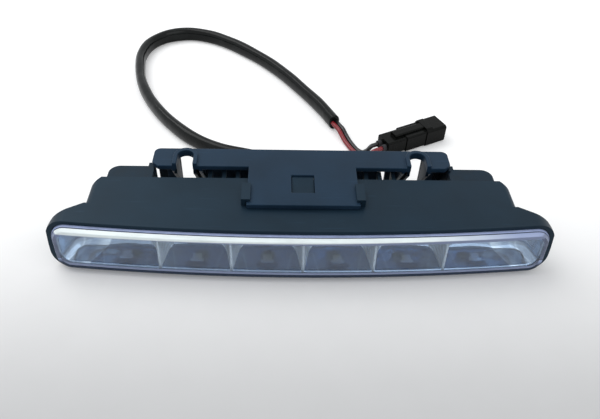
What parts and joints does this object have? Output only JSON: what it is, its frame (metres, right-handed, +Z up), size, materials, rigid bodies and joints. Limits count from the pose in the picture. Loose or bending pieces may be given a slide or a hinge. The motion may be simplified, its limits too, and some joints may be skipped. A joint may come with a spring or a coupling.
{
  "type": "daytime running light",
  "caption": "Slim bowed daytime running light with a clear lens over a row of reflector cells, finned back, slotted T bracket, and a sleeved lead to a plug connector.",
  "frame": {"origin": "on the ground, under the middle of the lamp with its bracket, the lead left out", "axes": "+X along the lamp, +Y from the lens to the back, +Z up from the flat underside to the bracket"},
  "size_m": [0.22, 0.222, 0.0302],
  "materials": {
    "clear_lens": "clear polycarbonate, polished",
    "seal_rubber": "matt rubber",
    "black_moulding": "satin black moulding",
    "bright_reflector": "metallised moulding",
    "light_source": "white ring with a yellow phosphor dome",
    "white_board": "white coated metal board",
    "pad_rubber": "soft heat pad",
    "black_casting": "black coated casting",
    "green_board": "green coated board",
    "copper_winding": "lacquered copper",
    "part_plastic": "black moulded parts",
    "screw_steel": "plated steel",
    "bracket_moulding": "satin blue-black moulding",
    "sleeve_plastic": "glossy black sleeve",
    "red_insulation": "red insulation",
    "black_insulation": "black insulation",
    "connector_plastic": "black glass-filled moulding",
    "pin_metal": "tinned brass"
  },
  "bodies": {
    "root": {"lens": "clear_lens", "lens_seal": "seal_rubber", "front_housing": "black_moulding", "reflector": "bright_reflector", "led_1": "light_source", "led_2": "light_source", "led_3": "light_source", "led_4": "light_source", "led_5": "light_source", "led_6": "light_source", "light_board": "white_board", "heat_pad": "pad_rubber", "heat_sink": "black_casting", "back_seal": "seal_rubber", "driver_board": "green_board", "ring_coil": "copper_winding", "capacitors": "part_plastic", "control_chip": "part_plastic", "board_screws": "screw_steel", "back_screws": "screw_steel", "cable_grommet": "seal_rubber", "mounting_bracket": "bracket_moulding", "cable_sleeve": "sleeve_plastic", "red_wire": "red_insulation", "black_wire": "black_insulation", "connector_housing": "connector_plastic", "connector_pins": "pin_metal", "wire_seals": "seal_rubber"}
  },
  "joints": []
}
